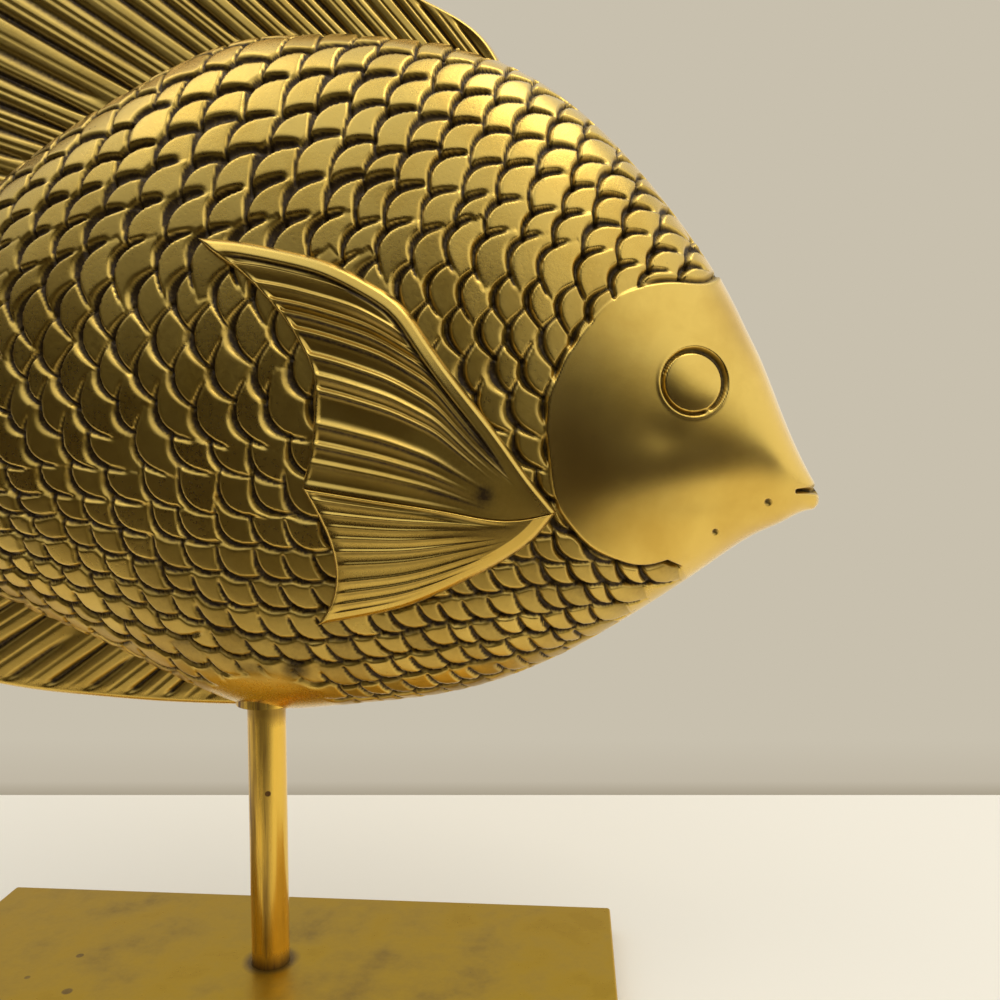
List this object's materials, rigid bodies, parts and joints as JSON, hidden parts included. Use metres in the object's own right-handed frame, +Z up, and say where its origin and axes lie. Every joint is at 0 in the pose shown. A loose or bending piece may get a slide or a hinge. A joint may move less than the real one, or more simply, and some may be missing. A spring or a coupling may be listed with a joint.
{
  "type": "fish figurine",
  "caption": "Free-standing brass fish on a round post and a flat rectangular base plate, for display on a table or shelf.",
  "frame": {"origin": "on the post's axis, at the underside of the felt, which is the surface that the figurine stands on", "axes": "+X towards the fish's head, +Y towards its left flank, away from the viewer in the picture, +Z up"},
  "size_m": [0.3111, 0.067, 0.281],
  "materials": {
    "cast_brass": "cast brass, filed and polished on the high places, dark patina in the grooves",
    "turned_brass": "drawn round bar, satin, with brown streaks",
    "plate_brass": "satin aged sheet brass",
    "screw_steel": "zinc plated",
    "felt": "pressed wool felt"
  },
  "bodies": {
    "root": {"right_flank_shell": "cast_brass", "left_flank_shell": "cast_brass", "belly_socket": "turned_brass", "post_stud": "screw_steel", "post": "turned_brass", "base_plate": "plate_brass", "base_screw": "screw_steel", "felt_pad": "felt"}
  },
  "joints": []
}
